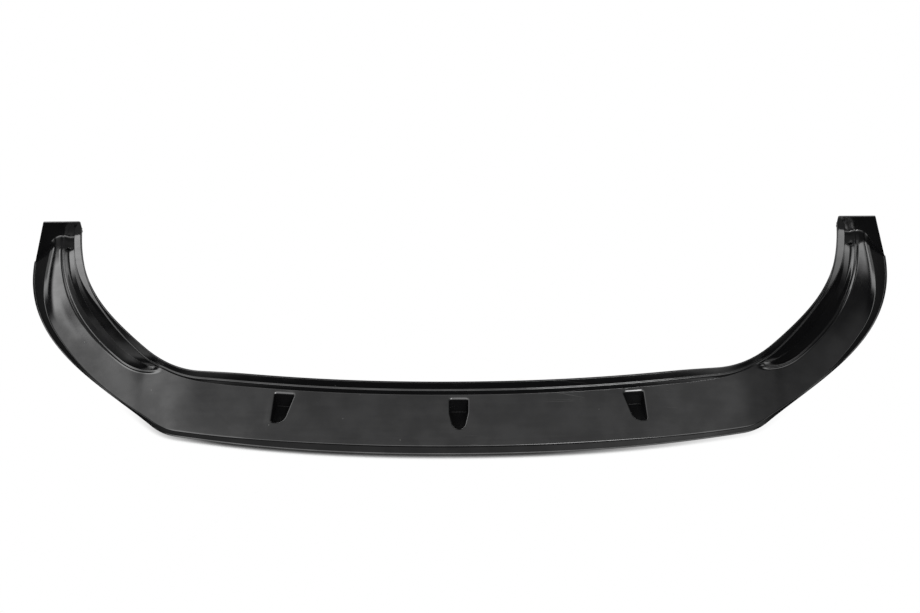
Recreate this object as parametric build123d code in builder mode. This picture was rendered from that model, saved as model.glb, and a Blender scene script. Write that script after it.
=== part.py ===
"""Front splitter lip: one U-shaped moulded shell with three blind scoops and a flange at each end."""

import os
from math import cos, dist, radians, sin

from build123d import *

# Overall sizes in mm: half the width, front edge to arm ends, top of the end flanges, wall
HALF_WIDTH = 843.0
DEPTH = 515.0
END_HEIGHT = 104.0
WALL = 3.5

# Plan of the bottom edge: corner in from the side and behind the front edge, headings in degrees
OUTER_CORNER_IN = 323.5
OUTER_CORNER_Y = 50.5
OUTER_FRONT_HEADING = 11.6
OUTER_SIDE_HEADING = 45.5
OUTER_END_HEADING = 84.0
OUTER_SIDE_PULL = 164.0
OUTER_END_PULL = 250.0
OUTER_CORNER_EASE = 0.06

# Plan of the inner edge, where the ledge meets the upstand
INNER_MIDDLE_Y = 94.7
INNER_CORNER_IN = 338.0
INNER_CORNER_Y = 134.6
ARM_WIDTH = 107.0
INNER_FRONT_HEADING = 7.0
INNER_SIDE_HEADING = 43.5
INNER_END_HEADING = 81.0
INNER_SIDE_PULL = 210.0
INNER_END_PULL = 179.0
INNER_CORNER_EASE = 0.12

# Pulls that the outer and the inner front curve share: at the middle and at the corner
MIDDLE_PULL = 230.0
CORNER_PULL = 150.0

# Front edge: its height in the middle, at the corner and on the diagonal, and at the arm's end
EDGE_MIDDLE = 20.0
EDGE_CORNER = 13.0
EDGE_DIAGONAL = 8.0
EDGE_END = END_HEIGHT - 46.0
EDGE_SETBACK = 1.0
EDGE_UNDERCUT = 2.0
FLANK_LEAN_MIDDLE = 0.2
FLANK_LEAN_END = 0.83

# Ledge that the bumper sits on, the wall below it and the upstand above it
LEDGE_FRONT = 62.0
LEDGE_END = END_HEIGHT - 17.0
LEDGE_DIP = 10.0
LEDGE_WIDTH_FRONT = 2.5
LEDGE_WIDTH_ARM = 12.0
LEDGE_RISE = 1.0
FOOT_WALL_MIDDLE = 9.0
FOOT_WALL_CORNER = 3.0
FOOT_WALL_ARM = 20.0
FOOT_WALL_END = 6.0
FOOT_RUN_FRONT = 1.5
FOOT_RUN_ARM = 7.0
FOOT_RUN_END = 4.0
UPSTAND_MIDDLE = 15.0
UPSTAND_CORNER = 11.0
UPSTAND_ARM = 1.0
UPSTAND_LEAN = 1.5

# Recess along each arm: width with wall and ledge, the step into it, where it begins, its floor's slope
RECESS_WIDTH = 42.0
RECESS_STEP = 4.5
RECESS_STEP_RUN = 5.0
RECESS_TIP = 1.05
RECESS_FULL = 1.27
FLOOR_FALL = -0.18
FLOOR_END_RISE = -0.05
SEAM_RUN = 7.0
SEAM_STEP = 0.06

# Roundings of the upper face: front edge, step, ledge
EDGE_ROUND = 3.5
STEP_ROUND = 2.0
LEDGE_ROUND = 1.6
LARGEST_ROUND_SHARE = 0.45

# Scoops in the blade: what the three share
SCOOP_TOP = 60.0
SCOOP_REAR = 86.0
SCOOP_FLOOR = 19.0
SCOOP_DRAFT = 2.0
SCOOP_REAR_CORNER = 4.0
SCOOP_FLOOR_ROUND = 2.0

# Middle scoop: straight sides, then a round nose
MIDDLE_SCOOP_LENGTH = 54.5
MIDDLE_SCOOP_WIDTH = 32.5
MIDDLE_NOSE_WIDTH = 19.0
MIDDLE_NOSE_LENGTH = 28.5
MIDDLE_NOSE_ROUND = 12.0
MIDDLE_SHOULDER_ROUND = 25.0

# Side scoops: a straight outer side and a slanted inner one
SIDE_SCOOP_STATION = 0.543
SIDE_SCOOP_LENGTH = 53.0
SIDE_SCOOP_WIDTH = 36.0
SIDE_SCOOP_SLANT = 13.0
SIDE_INNER_ROUND = 17.0
SIDE_OUTER_ROUND = 4.5

# End flanges, which reach past the ledge to the upstand, and the screw holes in the recess beside them
FLANGE_TOP_IN = 38.0
FLANGE_REACH = ARM_WIDTH + 4.0
FLANGE_FOOT = END_HEIGHT - 26.0
FLANGE_CORNER = 3.0
HOLE_RADIUS = 4.0
HOLE_REACH = 14.0
HOLE_STATION = 1.93

# Stations along the lip: 0 the middle, 1 the corner, 2 the arm's end; below 0 the other side
ARM_END = 2
HALF_JOINTS = [0.4, 0.7, RECESS_TIP, 1.3, 1.65, ARM_END]
SHELL_JOINTS = [-joint for joint in reversed(HALF_JOINTS)] + HALF_JOINTS
SECTION_STEP = 0.06

# Stretches over which the front edge and the flank change
EDGE_DROP_FRONT = (0.3, 1.0)
EDGE_DROP_CORNER = (1.0, 1.2)
UNDERCUT_START = (1.0, 1.15)
FLANK_RISE = (1.15, 2.35)
FLANK_START = (1.2, 1.5)
LEAN_START = (1.25, 1.6)
LEAN_CHANGE = (1.6, 2.0)

# Stretches over which the ledge, the wall, the upstand and the seam change
LEDGE_CLIMB = (1.0, 2.0)
LEDGE_DIP_START = (1.03, 1.14)
LEDGE_DIP_END = (1.14, 1.5)
LEDGE_WIDENING = (1.4, 1.8)
WALL_FADE = (0.75, 1.02)
WALL_RETURN = (1.02, 1.35)
ARM_FINISH = (1.5, 2.0)
UPSTAND_DROP = (0.7, 1.0)
UPSTAND_FADE = (1.2, 1.75)
STEP_START = (1.03, 1.13)
SEAM_CROSSING = (0.64, 1.0)


def mix(start, end, share):
    return start + (end - start) * share


def ease(start, end, value):
    """0 below start, 1 above end, smooth between them."""
    share = min(1.0, max(0.0, (value - start) / (end - start)))
    return share * share * (3 - 2 * share)


def along(point, heading, length):
    return point[0] + length * cos(radians(heading)), point[1] + length * sin(radians(heading))


def curve(points, share):
    """Point of a Bezier curve by its control points."""
    while len(points) > 1:
        points = [(mix(a[0], b[0], share), mix(a[1], b[1], share)) for a, b in zip(points, points[1:])]
    return points[0]


def eased_plan(front, side, station, easing):
    """Point of a front and a side curve whose shared corner is eased."""
    if station < 1 - easing:
        return curve(front, station)
    if station > 1 + easing:
        return curve(side, station - 1)
    ends = [curve(front, 1 - easing), front[-1], curve(side, easing)]
    return curve(ends, (station - 1 + easing) / (2 * easing))


def outer_point(station):
    corner = (HALF_WIDTH - OUTER_CORNER_IN, OUTER_CORNER_Y)
    end = (HALF_WIDTH, DEPTH)
    front = [(0, 0), (MIDDLE_PULL, 0), along(corner, OUTER_FRONT_HEADING, -CORNER_PULL), corner]
    side_start = along(corner, OUTER_SIDE_HEADING, OUTER_SIDE_PULL)
    side = [corner, side_start, along(end, OUTER_END_HEADING, -OUTER_END_PULL), end]
    return eased_plan(front, side, station, OUTER_CORNER_EASE)


def inner_point(station):
    middle = (0, INNER_MIDDLE_Y)
    corner = (HALF_WIDTH - INNER_CORNER_IN, INNER_CORNER_Y)
    end = (HALF_WIDTH - ARM_WIDTH, DEPTH)
    front = [middle, (MIDDLE_PULL, INNER_MIDDLE_Y), along(corner, INNER_FRONT_HEADING, -CORNER_PULL), corner]
    side_start = along(corner, INNER_SIDE_HEADING, INNER_SIDE_PULL)
    side = [corner, side_start, along(end, INNER_END_HEADING, -INNER_END_PULL), end]
    return eased_plan(front, side, station, INNER_CORNER_EASE)


def section_plane(station):
    """Upright plane from the bottom edge to the inner edge; a negative station is on the other side."""
    side = -1 if station < 0 else 1
    outer, inner = outer_point(abs(station)), inner_point(abs(station))
    run = (side * (inner[0] - outer[0]), inner[1] - outer[1], 0)
    return Plane((side * outer[0], outer[1] - DEPTH / 2, 0), x_dir=run, z_dir=(run[1], -run[0], 0))


def top_profile(station):
    """Corners of the upper face, as distance from the bottom edge and height."""
    station = abs(station)
    width = dist(outer_point(station), inner_point(station))
    growth = ease(*FLANK_RISE, station) / ease(*FLANK_RISE, ARM_END) * ease(*FLANK_START, station)
    edge_z = mix(EDGE_MIDDLE, EDGE_CORNER, ease(*EDGE_DROP_FRONT, station))
    edge_z = mix(edge_z, EDGE_DIAGONAL, ease(*EDGE_DROP_CORNER, station))
    edge_z = edge_z + (EDGE_END - EDGE_DIAGONAL) * growth
    lean = mix(FLANK_LEAN_MIDDLE, FLANK_LEAN_END, ease(*LEAN_CHANGE, station)) * ease(*LEAN_START, station)
    edge_d = mix(EDGE_SETBACK, -EDGE_UNDERCUT, ease(*UNDERCUT_START, station)) + edge_z * lean
    ledge_z = mix(LEDGE_FRONT, LEDGE_END, ease(*LEDGE_CLIMB, station))
    ledge_width = mix(LEDGE_WIDTH_FRONT, LEDGE_WIDTH_ARM, ease(*LEDGE_WIDENING, station))
    foot_wall = mix(FOOT_WALL_MIDDLE, FOOT_WALL_CORNER, ease(*WALL_FADE, station))
    foot_wall = mix(foot_wall, FOOT_WALL_ARM, ease(*WALL_RETURN, station))
    foot_wall = mix(foot_wall, FOOT_WALL_END, ease(*ARM_FINISH, station))
    foot_run = mix(FOOT_RUN_FRONT, FOOT_RUN_ARM, ease(*WALL_RETURN, station))
    foot_run = mix(foot_run, FOOT_RUN_END, ease(*ARM_FINISH, station))
    upstand = mix(UPSTAND_MIDDLE, UPSTAND_CORNER, ease(*UPSTAND_DROP, station))
    upstand = mix(upstand, UPSTAND_ARM, ease(*UPSTAND_FADE, station))
    dip = LEDGE_DIP * ease(*LEDGE_DIP_START, station) * (1 - ease(*LEDGE_DIP_END, station))
    foot_d = width - ledge_width - foot_run
    foot_z = ledge_z - foot_wall
    step = mix(SEAM_STEP, RECESS_STEP, ease(*STEP_START, station))
    opened = min(1.0, max(0.0, (station - RECESS_TIP) / (RECESS_FULL - RECESS_TIP)))
    seam_d = mix(edge_d + SEAM_RUN, foot_d - SEAM_RUN, ease(*SEAM_CROSSING, station))
    step_d = mix(seam_d, width - RECESS_WIDTH, 1 - (1 - opened) ** 2)
    floor_d = step_d + RECESS_STEP_RUN
    slope = (foot_z + step - edge_z) / (foot_d - edge_d)
    floor_slope = mix(slope, FLOOR_FALL, ease(*STEP_START, station))
    floor_slope = mix(floor_slope, FLOOR_END_RISE, ease(*ARM_FINISH, station))
    floor_z = edge_z + slope * (floor_d - edge_d) - step
    return [
        (0, 0),
        (edge_d, edge_z),
        (step_d, edge_z + slope * (step_d - edge_d)),
        (floor_d, floor_z),
        (foot_d, floor_z + floor_slope * (foot_d - floor_d)),
        (width - ledge_width, ledge_z - dip),
        (width, ledge_z - dip + LEDGE_RISE),
        (width + UPSTAND_LEAN, ledge_z + LEDGE_RISE + upstand),
    ]


def under_profile(top):
    """The upper face's corners moved in by the wall, with the bottom rim kept on the ground."""
    normals = []
    for a, b in zip(top, top[1:]):
        length = dist(a, b)
        normals.append(((b[1] - a[1]) / length, (a[0] - b[0]) / length))
    first, last = normals[0], normals[-1]
    under = [(top[0][0] + WALL / first[0], 0)]
    for corner, before, after in zip(top[1:], normals, normals[1:]):
        share = WALL / (1 + before[0] * after[0] + before[1] * after[1])
        under.append((corner[0] + share * (before[0] + after[0]), corner[1] + share * (before[1] + after[1])))
    under.append((top[-1][0] + WALL * last[0], top[-1][1] + WALL * last[1]))
    return under


def toward(corner, neighbour, rounding):
    """Point on the way to the neighbour where a corner's rounding ends."""
    share = min(LARGEST_ROUND_SHARE, rounding / dist(corner, neighbour))
    return mix(corner[0], neighbour[0], share), mix(corner[1], neighbour[1], share)


def draw_section(station):
    """Closed outline of the wall, rounded at the upper face's corners."""
    top = top_profile(station)
    outline = top + under_profile(top)[::-1]
    rounds = {1: EDGE_ROUND, 2: STEP_ROUND, 5: LEDGE_ROUND}
    end = outline[0]
    for i, corner in enumerate(outline):
        after = outline[(i + 1) % len(outline)]
        if i in rounds:
            start = toward(corner, outline[i - 1], rounds[i])
            Line(end, start)
            end = toward(corner, after, rounds[i])
            Bezier(start, corner, end)
        elif i:
            Line(end, corner)
            end = corner
    Line(end, outline[0])


def scoop_plane(station, height):
    """Level plane at the front edge, its y axis toward the wall."""
    upright = section_plane(station)
    return Plane(upright.origin + Vector(0, 0, height), x_dir=upright.z_dir, z_dir=(0, 0, 1))


def middle_scoop_outline(extra):
    """Outline of the middle scoop, wider all round by extra."""
    front = SCOOP_REAR - MIDDLE_SCOOP_LENGTH
    half, nose, shoulder = MIDDLE_SCOOP_WIDTH / 2, MIDDLE_NOSE_WIDTH / 2, front + MIDDLE_NOSE_LENGTH
    with BuildSketch(scoop_plane(0, SCOOP_TOP)) as outline:
        with BuildLine():
            left = Polyline((-nose, front), (-half, shoulder), (-half, SCOOP_REAR))
            right = Polyline((nose, front), (half, shoulder), (half, SCOOP_REAR))
            Line(left @ 0, right @ 0)
            Line(left @ 1, right @ 1)
        make_face()
        nose_corners, shoulders, rear_corners = outline.vertices().group_by(Axis.Y)
        fillet(nose_corners, MIDDLE_NOSE_ROUND)
        fillet([corner for corner in outline.vertices() if corner in shoulders], MIDDLE_SHOULDER_ROUND)
        fillet(outline.vertices().group_by(Axis.Y)[-1], SCOOP_REAR_CORNER)
        if extra:
            offset(amount=extra)
    return outline.sketch


def side_scoop_outline(side, extra):
    """Outline of a side scoop, wider all round by extra."""
    front = SCOOP_REAR - SIDE_SCOOP_LENGTH
    outer, inner = side * SIDE_SCOOP_WIDTH / 2, -side * SIDE_SCOOP_WIDTH / 2
    toward_outer = Axis((0, 0, 0), (side, 0, 0))
    with BuildSketch(scoop_plane(side * SIDE_SCOOP_STATION, SCOOP_TOP)) as outline:
        with BuildLine():
            Polyline(
                (inner, SCOOP_REAR),
                (outer, SCOOP_REAR),
                (outer, front),
                (inner + side * SIDE_SCOOP_SLANT, front),
                close=True,
            )
        make_face()
        fillet(outline.vertices().group_by(Axis.Y)[-1], SCOOP_REAR_CORNER)
        fillet(outline.vertices().group_by(Axis.Y)[0].sort_by(toward_outer)[0], SIDE_INNER_ROUND)
        fillet(outline.vertices().group_by(Axis.Y)[0].sort_by(toward_outer)[-1], SIDE_OUTER_ROUND)
        if extra:
            offset(amount=extra)
    return outline.sketch


def blade_plane(station):
    """Plane of the blade's upper face at a station of the front."""
    upright = section_plane(station)
    top = top_profile(station)
    edge, foot = top[1], top[4]
    length = dist(edge, foot)
    normal = upright.x_dir * ((edge[1] - foot[1]) / length) + upright.y_dir * ((foot[0] - edge[0]) / length)
    return Plane(upright.from_local_coords(Vector(*edge, 0)), x_dir=upright.z_dir, z_dir=normal)


def hole_plane(station):
    """Plane on the recess floor, half way across it."""
    upright = section_plane(station)
    top = top_profile(station)
    near, far = top[3], top[4]
    length = dist(near, far)
    middle = upright.from_local_coords(Vector((near[0] + far[0]) / 2, (near[1] + far[1]) / 2, 0))
    normal = upright.x_dir * ((near[1] - far[1]) / length) + upright.y_dir * ((far[0] - near[0]) / length)
    return Plane(middle, x_dir=upright.z_dir, z_dir=normal)


os.makedirs("parts", exist_ok=True)

with BuildPart() as splitter_lip:
    # Shell, from one arm's end round to the other
    for first, last in zip(SHELL_JOINTS, SHELL_JOINTS[1:]):
        steps = round((last - first) / SECTION_STEP)
        for number in range(steps + 1):
            station = mix(first, last, number / steps)
            with BuildSketch(section_plane(station)):
                with BuildLine():
                    draw_section(station)
                make_face()
        loft(clean=False)

    # Upright flange across each arm's end
    for side in (-1, 1):
        with BuildSketch(section_plane(ARM_END * side)) as flange:
            with BuildLine():
                Polyline(
                    (0, 0),
                    (FLANGE_TOP_IN, END_HEIGHT),
                    (FLANGE_REACH, END_HEIGHT),
                    (FLANGE_REACH, FLANGE_FOOT),
                    close=True,
                )
            make_face()
            fillet(flange.vertices().sort_by(Axis.Z)[-2:], FLANGE_CORNER)
        extrude(amount=-side * WALL, clean=False)

    # Scoops: a walled pocket under the blade, then its hollow
    for side in (-1, 0, 1):
        with BuildPart(mode=Mode.PRIVATE) as pocket:
            outside = side_scoop_outline(side, WALL) if side else middle_scoop_outline(WALL)
            extrude(outside, amount=SCOOP_FLOOR - WALL - SCOOP_TOP, taper=SCOOP_DRAFT)
            split(bisect_by=blade_plane(side * SIDE_SCOOP_STATION).offset(-WALL / 2), keep=Keep.BOTTOM)
        add(pocket.part, clean=False)
        inside = side_scoop_outline(side, 0) if side else middle_scoop_outline(0)
        extrude(inside, amount=SCOOP_FLOOR - SCOOP_TOP, taper=SCOOP_DRAFT, mode=Mode.SUBTRACT, clean=False)

    fillet(splitter_lip.edges().filter_by_position(Axis.Z, SCOOP_FLOOR, SCOOP_FLOOR), SCOOP_FLOOR_ROUND)

    # Screw holes through the recess floors
    for station in (-HOLE_STATION, HOLE_STATION):
        with Locations(hole_plane(station)):
            Cylinder(HOLE_RADIUS, HOLE_REACH, mode=Mode.SUBTRACT)

splitter_lip.part.label = "splitter_lip"
export_step(splitter_lip.part, "parts/splitter_lip.step")
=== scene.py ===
"""Front splitter lip: the moulded shell as one smooth mesh, its black plastic and a white studio set."""

from math import cos, dist, pi, radians, sin, tan

import bmesh
import bpy
from mathutils import Matrix, Vector


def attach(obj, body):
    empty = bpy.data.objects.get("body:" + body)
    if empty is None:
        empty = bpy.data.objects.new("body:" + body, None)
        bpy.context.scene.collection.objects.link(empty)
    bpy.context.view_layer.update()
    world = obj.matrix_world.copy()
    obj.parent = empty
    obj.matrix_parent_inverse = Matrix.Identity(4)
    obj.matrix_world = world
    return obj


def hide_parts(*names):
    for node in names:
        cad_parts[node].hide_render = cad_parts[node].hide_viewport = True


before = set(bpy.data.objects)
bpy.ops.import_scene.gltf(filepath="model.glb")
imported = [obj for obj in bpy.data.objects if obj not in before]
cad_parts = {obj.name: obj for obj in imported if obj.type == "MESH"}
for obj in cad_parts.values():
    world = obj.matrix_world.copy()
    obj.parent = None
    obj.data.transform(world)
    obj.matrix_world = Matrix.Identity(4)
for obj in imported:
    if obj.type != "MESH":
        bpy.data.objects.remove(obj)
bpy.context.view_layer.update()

MM = 0.001

# Overall sizes in mm: half the width, front edge to arm ends, top of the end flanges, wall
HALF_WIDTH = 843.0
DEPTH = 515.0
END_HEIGHT = 104.0
WALL = 3.5

# Plan of the bottom edge: the place of its corner, with headings in degrees off the x axis
OUTER_CORNER_IN = 323.5
OUTER_CORNER_Y = 50.5
OUTER_FRONT_HEADING = 11.6
OUTER_SIDE_HEADING = 45.5
OUTER_END_HEADING = 84.0
OUTER_SIDE_PULL = 164.0
OUTER_END_PULL = 250.0
OUTER_CORNER_EASE = 0.06

# Plan of the inner edge, where the ledge meets the upstand
INNER_MIDDLE_Y = 94.7
INNER_CORNER_IN = 338.0
INNER_CORNER_Y = 134.6
ARM_WIDTH = 107.0
INNER_FRONT_HEADING = 7.0
INNER_SIDE_HEADING = 43.5
INNER_END_HEADING = 81.0
INNER_SIDE_PULL = 210.0
INNER_END_PULL = 179.0
INNER_CORNER_EASE = 0.12

# Pulls that the outer and the inner front curve share: at the middle and at the corner
MIDDLE_PULL = 230.0
CORNER_PULL = 150.0

# Front edge and flank
EDGE_MIDDLE = 20.0
EDGE_CORNER = 13.0
EDGE_DIAGONAL = 8.0
EDGE_END = END_HEIGHT - 46.0
EDGE_SETBACK = 1.0
EDGE_UNDERCUT = 2.0
BEAD_OUT = 1.6
BEAD_LOW = 1.6
BEAD_HIGH = 4.0
FLANK_LEAN_MIDDLE = 0.2
FLANK_LEAN_END = 0.83

# Ledge that the bumper sits on, the wall below it and the upstand above it
LEDGE_FRONT = 62.0
LEDGE_END = END_HEIGHT - 17.0
LEDGE_DIP = 10.0
LEDGE_WIDTH_FRONT = 2.5
LEDGE_WIDTH_ARM = 12.0
LEDGE_RISE = 1.0
FOOT_WALL_MIDDLE = 9.0
FOOT_WALL_CORNER = 3.0
FOOT_WALL_ARM = 20.0
FOOT_WALL_END = 6.0
FOOT_RUN_FRONT = 1.5
FOOT_RUN_ARM = 7.0
FOOT_RUN_END = 4.0
UPSTAND_MIDDLE = 15.0
UPSTAND_CORNER = 11.0
UPSTAND_ARM = 1.0
UPSTAND_LEAN = 1.5

# Recess along each arm
RECESS_WIDTH = 42.0
RECESS_STEP = 4.5
RECESS_STEP_RUN = 5.0
FLOOR_SLOPE_ARM = -0.18
FLOOR_SLOPE_END = -0.05
FLOOR_CREASE = 1.3
SHELF_WIDTH = 2.2
SEAM_RUN = 7.0
SEAM_STEP = 0.06

# Stretches of stations over which sizes change: 0 the middle, 1 the corner, 2 the arm's end
ARM_END = 2
EDGE_DROP_FRONT = (0.3, 1.0)
EDGE_DROP_CORNER = (1.0, 1.2)
UNDERCUT_START = (1.0, 1.15)
FLANK_RISE = (1.15, 2.35)
FLANK_START = (1.2, 1.5)
LEAN_START = (1.25, 1.6)
LEAN_CHANGE = (1.6, 2.0)
LEDGE_CLIMB = (1.0, 2.0)
LEDGE_DIP_START = (1.03, 1.14)
LEDGE_DIP_END = (1.14, 1.5)
LEDGE_WIDENING = (1.4, 1.8)
WALL_FADE = (0.75, 1.02)
WALL_RETURN = (1.02, 1.35)
ARM_FINISH = (1.5, 2.0)
UPSTAND_DROP = (0.7, 1.0)
UPSTAND_FADE = (1.2, 1.75)
STEP_START = (1.03, 1.13)
RECESS_OPENING = (1.05, 1.27)
SEAM_CROSSING = (0.64, 1.0)
CREASE_START = (1.45, 1.8)

# Roundings of the section's corners
SOLE_ROUND = 0.5
BEAD_ROUND = 0.6
EDGE_ROUND = 3.5
STEP_ROUND = 2.2
SHELF_ROUND = 1.0
CREASE_ROUND = 4.0
FOOT_ROUND_FRONT = 0.4
FOOT_ROUND_ARM = 0.1
LEDGE_ROUND_FRONT = 2.5
LEDGE_ROUND_ARM = 1.2
RIM_ROUND = 1.0
UNDER_ROUND = 1.0

# How finely the shell is divided
STATIONS = 401
CORNER_STEPS = 9
OUTLINE_STEPS = 8
ARC_STEPS = 5
SCOOP_RIM_STEPS = 9
HOLE_STEPS = 32
HOLE_RIM_STEPS = 3
FLANGE_EDGE_STEPS = 4
BLADE_SHARES = (0.25, 0.5, 0.75)

# Least cosine that widens an outline at a mitred corner
MITRE_LIMIT = 0.5

# Lines beside the roundings that keep the faces flat, and the share of a face that each may take
SUPPORT = 0.8
SUPPORT_RING = 0.5
HOLE_SUPPORT = 0.4
ROUND_SHARE = 0.45
SUPPORT_SHARE = 0.04

# Crown of the blade along the arm: its control point above the flat, as a share of the blade's width there
CROWN = 0.11
CROWN_START = (1.3, 1.8)

# Scoops in the blade
SCOOP_TOP = 60.0
SCOOP_REAR = 85.5
SCOOP_FLOOR = 19.0
SCOOP_DRAFT = 2.0
SCOOP_REAR_CORNER = 4.0
SCOOP_FLOOR_ROUND = 0.7
SCOOP_RIM_ROUND = 3.0
SCOOP_REAR_RIM = 5.0
SCOOP_REAR_RIM_RUN = 4.0
MIDDLE_SCOOP_LENGTH = 54.5
MIDDLE_SCOOP_WIDTH = 32.5
MIDDLE_NOSE_WIDTH = 19.0
MIDDLE_NOSE_LENGTH = 28.5
MIDDLE_NOSE_ROUND = 12.0
MIDDLE_SHOULDER_ROUND = 25.0
SIDE_SCOOP_STATION = 0.543
SIDE_SCOOP_LENGTH = 53.0
SIDE_SCOOP_WIDTH = 36.0
SIDE_SCOOP_SLANT = 13.0
SIDE_INNER_ROUND = 17.0
SIDE_OUTER_ROUND = 4.5
SCOOP_WINDOW = 6

# End flanges and the screw holes in the recess beside them
FLANGE_TOP_IN = 38.0
FLANGE_OVERHANG = 2.5
FLANGE_REACH = ARM_WIDTH + FLANGE_OVERHANG
FLANGE_FOOT = END_HEIGHT - 26.0
FLANGE_CORNER = 3.0
FLANGE_TIP_ROUND = 1.5
FLANGE_EDGE_ROUND = 0.8
FLANGE_HOLLOW = 4.5
HOLLOW_SINK = 0.5
HOLLOW_START = 1.97
HOLLOW_STEP = 0.002
HOLE_RADIUS = 4.0
HOLE_STATION = 1.93
HOLE_RIM_ROUND = 0.5
HOLE_WINDOW = 2
COLLAR_DEPTH = 8.5
COLLAR_WALL = 2.0


# Plan and section


def mix(start, end, share):
    return start + (end - start) * share


def mix_points(start, end, share):
    return tuple(mix(a, b, share) for a, b in zip(start, end))


def ease(start, end, value):
    """0 below start, 1 above end, smooth between them."""
    share = min(1.0, max(0.0, (value - start) / (end - start)))
    return share * share * (3 - 2 * share)


def along(point, heading, length):
    return point[0] + length * cos(radians(heading)), point[1] + length * sin(radians(heading))


def curve(points, share):
    """Point of a Bezier curve by its control points."""
    while len(points) > 1:
        points = [mix_points(a, b, share) for a, b in zip(points, points[1:])]
    return points[0]


def eased_plan(front, side, station, easing):
    """Point of a front and a side curve whose shared corner is eased."""
    if station < 1 - easing:
        return curve(front, station)
    if station > 1 + easing:
        return curve(side, station - 1)
    ends = [curve(front, 1 - easing), front[-1], curve(side, easing)]
    return curve(ends, (station - 1 + easing) / (2 * easing))


def outer_point(station):
    corner = (HALF_WIDTH - OUTER_CORNER_IN, OUTER_CORNER_Y)
    end = (HALF_WIDTH, DEPTH)
    front_end = along(corner, OUTER_FRONT_HEADING, -CORNER_PULL)
    side_start = along(corner, OUTER_SIDE_HEADING, OUTER_SIDE_PULL)
    side_end = along(end, OUTER_END_HEADING, -OUTER_END_PULL)
    front = [(0, 0), (MIDDLE_PULL, 0), front_end, corner]
    side = [corner, side_start, side_end, end]
    return eased_plan(front, side, station, OUTER_CORNER_EASE)


def inner_point(station):
    corner = (HALF_WIDTH - INNER_CORNER_IN, INNER_CORNER_Y)
    end = (HALF_WIDTH - ARM_WIDTH, DEPTH)
    front_end = along(corner, INNER_FRONT_HEADING, -CORNER_PULL)
    side_start = along(corner, INNER_SIDE_HEADING, INNER_SIDE_PULL)
    side_end = along(end, INNER_END_HEADING, -INNER_END_PULL)
    front = [(0, INNER_MIDDLE_Y), (MIDDLE_PULL, INNER_MIDDLE_Y), front_end, corner]
    side = [corner, side_start, side_end, end]
    return eased_plan(front, side, station, INNER_CORNER_EASE)


def section_frame(station):
    """Foot of an upright section and its direction toward the inner edge."""
    side = -1 if station < 0 else 1
    outer, inner = outer_point(abs(station)), inner_point(abs(station))
    foot = Vector((side * outer[0], outer[1] - DEPTH / 2, 0))
    run = Vector((side * (inner[0] - outer[0]), inner[1] - outer[1], 0)).normalized()
    return foot, run


def top_profile(station):
    """Corners of the upper face, as distance from the bottom edge and height."""
    station = abs(station)
    width = dist(outer_point(station), inner_point(station))
    growth = ease(*FLANK_RISE, station) / ease(*FLANK_RISE, ARM_END) * ease(*FLANK_START, station)
    edge_z = mix(EDGE_MIDDLE, EDGE_CORNER, ease(*EDGE_DROP_FRONT, station))
    edge_z = mix(edge_z, EDGE_DIAGONAL, ease(*EDGE_DROP_CORNER, station))
    edge_z += (EDGE_END - EDGE_DIAGONAL) * growth
    lean = mix(FLANK_LEAN_MIDDLE, FLANK_LEAN_END, ease(*LEAN_CHANGE, station)) * ease(*LEAN_START, station)
    edge_d = mix(EDGE_SETBACK, -EDGE_UNDERCUT, ease(*UNDERCUT_START, station)) + edge_z * lean
    ledge_z = mix(LEDGE_FRONT, LEDGE_END, ease(*LEDGE_CLIMB, station))
    ledge_width = mix(LEDGE_WIDTH_FRONT, LEDGE_WIDTH_ARM, ease(*LEDGE_WIDENING, station))
    foot_wall = mix(FOOT_WALL_MIDDLE, FOOT_WALL_CORNER, ease(*WALL_FADE, station))
    foot_wall = mix(foot_wall, FOOT_WALL_ARM, ease(*WALL_RETURN, station))
    foot_wall = mix(foot_wall, FOOT_WALL_END, ease(*ARM_FINISH, station))
    foot_run = mix(FOOT_RUN_FRONT, FOOT_RUN_ARM, ease(*WALL_RETURN, station))
    foot_run = mix(foot_run, FOOT_RUN_END, ease(*ARM_FINISH, station))
    upstand = mix(UPSTAND_MIDDLE, UPSTAND_CORNER, ease(*UPSTAND_DROP, station))
    upstand = mix(upstand, UPSTAND_ARM, ease(*UPSTAND_FADE, station))
    dip = LEDGE_DIP * ease(*LEDGE_DIP_START, station) * (1 - ease(*LEDGE_DIP_END, station))
    foot_d = width - ledge_width - foot_run
    foot_z = ledge_z - foot_wall
    step = mix(SEAM_STEP, RECESS_STEP, ease(*STEP_START, station))
    tip, full = RECESS_OPENING
    opened = min(1.0, max(0.0, (station - tip) / (full - tip)))
    seam_d = mix(edge_d + SEAM_RUN, foot_d - SEAM_RUN, ease(*SEAM_CROSSING, station))
    step_d = mix(seam_d, width - RECESS_WIDTH, 1 - (1 - opened) ** 2)
    floor_d = step_d + RECESS_STEP_RUN
    slope = (foot_z + step - edge_z) / (foot_d - edge_d)
    floor_slope = mix(slope, FLOOR_SLOPE_ARM, ease(*STEP_START, station))
    floor_slope = mix(floor_slope, FLOOR_SLOPE_END, ease(*ARM_FINISH, station))
    floor_z = edge_z + slope * (floor_d - edge_d) - step
    return [
        (0, 0),
        (edge_d, edge_z),
        (step_d, edge_z + slope * (step_d - edge_d)),
        (floor_d, floor_z),
        (foot_d, floor_z + floor_slope * (foot_d - floor_d)),
        (width - ledge_width, ledge_z - dip),
        (width, ledge_z - dip + LEDGE_RISE),
        (width + UPSTAND_LEAN, ledge_z + LEDGE_RISE + upstand),
    ]


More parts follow.
